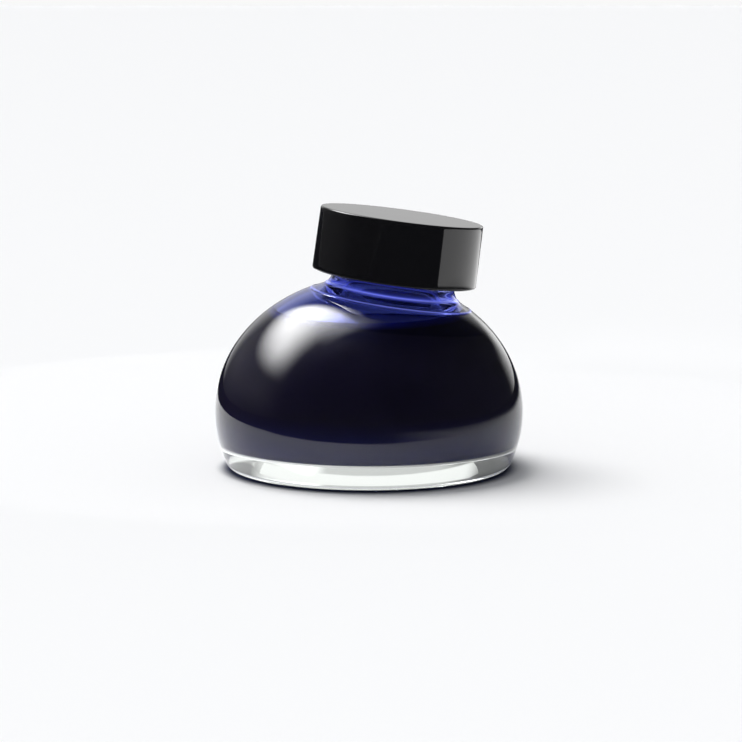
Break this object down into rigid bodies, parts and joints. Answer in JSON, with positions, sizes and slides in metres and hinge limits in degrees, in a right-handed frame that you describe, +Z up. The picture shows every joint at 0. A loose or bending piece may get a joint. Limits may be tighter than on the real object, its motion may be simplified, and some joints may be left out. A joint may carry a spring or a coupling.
{
  "type": "ink bottle",
  "caption": "Squat clear glass dome bottle on a thick foot, full of dark blue ink, with a short neck that leans to one side and a plain round black screw cap.",
  "frame": {"origin": "centre of the base, on the surface that the bottle stands on", "axes": "+Z up; the neck and the cap lean from +Z towards +X; -Y is the front, the side seen with the neck leaning to the right"},
  "size_m": [0.06, 0.06, 0.0512],
  "materials": {
    "glass": "clear fire-polished soda-lime glass",
    "ink": "dark blue writing ink, almost black in depth",
    "cap_plastic": "black, polished",
    "liner_foam": "closed-cell foam, off-white",
    "liner_film": "smooth white film"
  },
  "bodies": {
    "bottle": {"glass_bottle": "glass", "ink": "ink"},
    "liner": {"liner_backing": "liner_foam", "liner_facing": "liner_film"},
    "cap": {"cap": "cap_plastic"}
  },
  "joints": [
    {"name": "cap_lift", "type": "slide", "parent": "bottle", "child": "liner", "axis": [0.1305, 0, 0.9914], "range_m": [0, 0.0127]},
    {"name": "cap_turn", "type": "hinge", "parent": "liner", "child": "cap", "pos_m": [0, 0, 0], "axis": [0.1305, 0, 0.9914], "range_deg": [0, 1080]}
  ],
  "couplings": [
    {"joint": "cap_lift", "follows": "cap_turn", "m_per_rad": 0.0006737}
  ]
}
